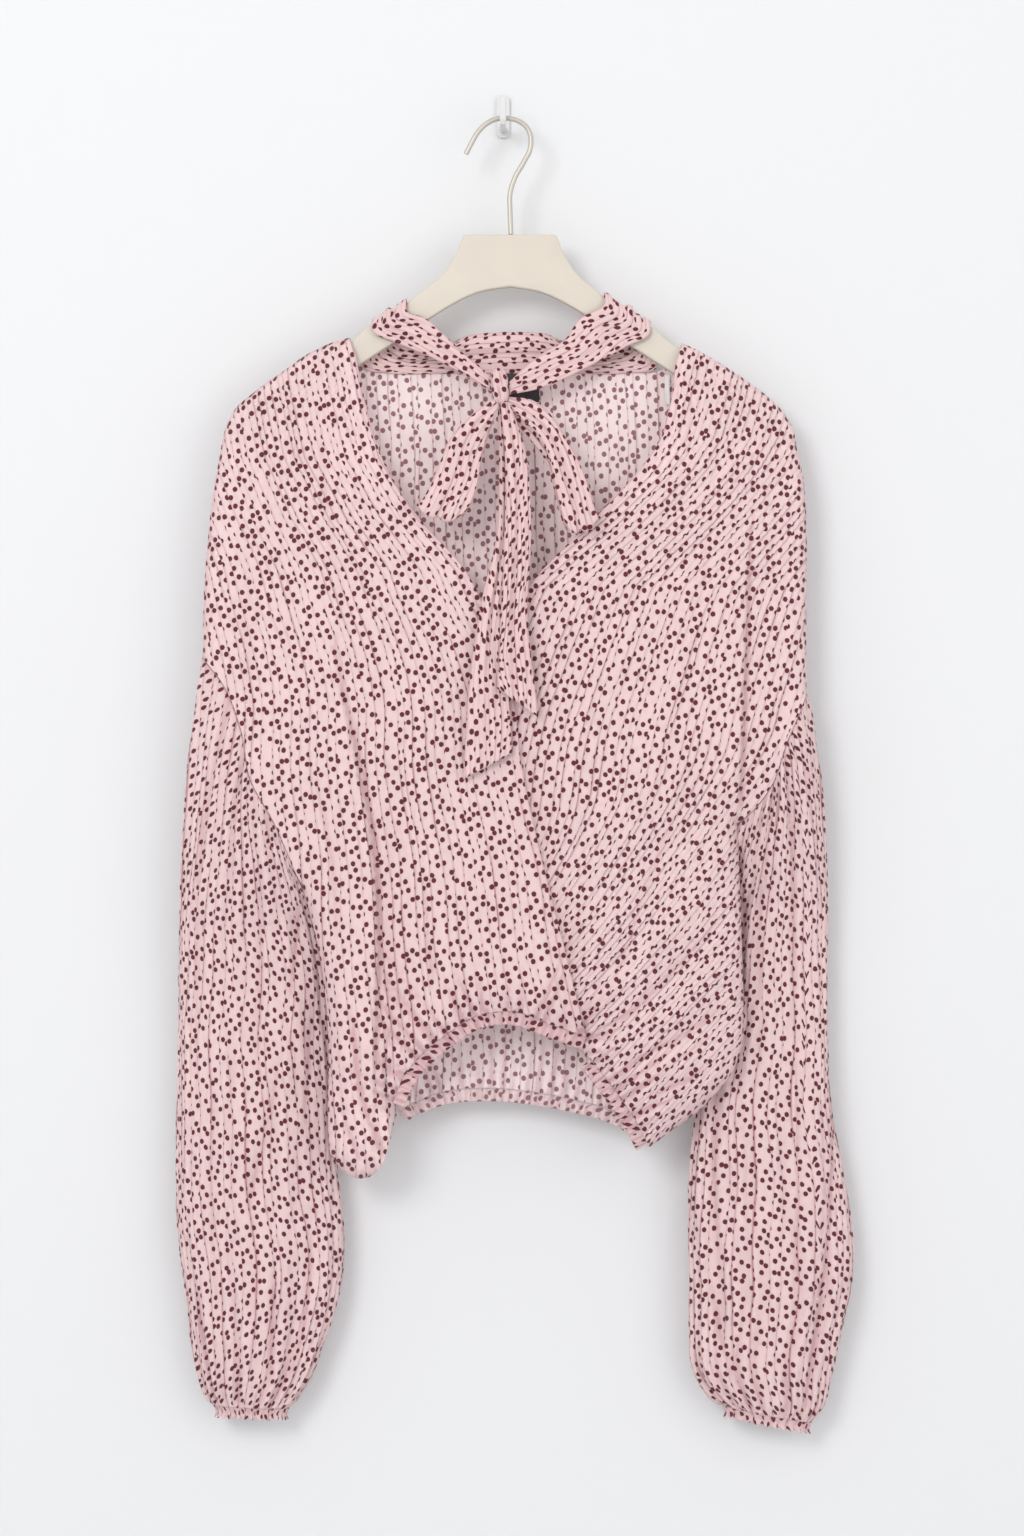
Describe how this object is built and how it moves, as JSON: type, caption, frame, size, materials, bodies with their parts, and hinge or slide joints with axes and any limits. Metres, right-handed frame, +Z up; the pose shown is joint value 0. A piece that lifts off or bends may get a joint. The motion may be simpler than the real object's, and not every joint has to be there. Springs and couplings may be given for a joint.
{
  "type": "tie neck blouse on a hanger",
  "caption": "Sheer rose-pink dotted wrap blouse with a tie neck and gathered balloon sleeves, on a cream hanger hung from a small wall hook.",
  "frame": {"origin": "middle of the wall hook's back face, on the wall", "axes": "+Z up, +Y into the wall, +X to the right of someone who faces the wall; the blouse hangs at -Y"},
  "size_m": [0.4761, 0.0671, 0.9436],
  "materials": {
    "dotted_cloth": "sheer crinkled chiffon with small dark red dots",
    "label_satin": "plain woven black",
    "tape_satin": "narrow white satin tape",
    "hanger_plastic": "matte cream",
    "hook_metal": "satin pale wire",
    "wall_hook_plastic": "smooth white"
  },
  "bodies": {
    "root": {"front_right": "dotted_cloth", "front_left": "dotted_cloth", "back": "dotted_cloth", "sleeve_right": "dotted_cloth", "sleeve_left": "dotted_cloth", "cuff_right": "dotted_cloth", "cuff_left": "dotted_cloth", "hem_band_right": "dotted_cloth", "hem_band_left": "dotted_cloth", "hem_band_back": "dotted_cloth", "tie_collar": "dotted_cloth", "tie_knot": "dotted_cloth", "tie_loop_right": "dotted_cloth", "tie_loop_left": "dotted_cloth", "tie_tail_front": "dotted_cloth", "tie_tail_back": "dotted_cloth", "neck_label": "label_satin", "hanger_loop_left": "tape_satin", "hanger": "hanger_plastic", "hanger_hook": "hook_metal", "wall_hook": "wall_hook_plastic"}
  },
  "joints": []
}
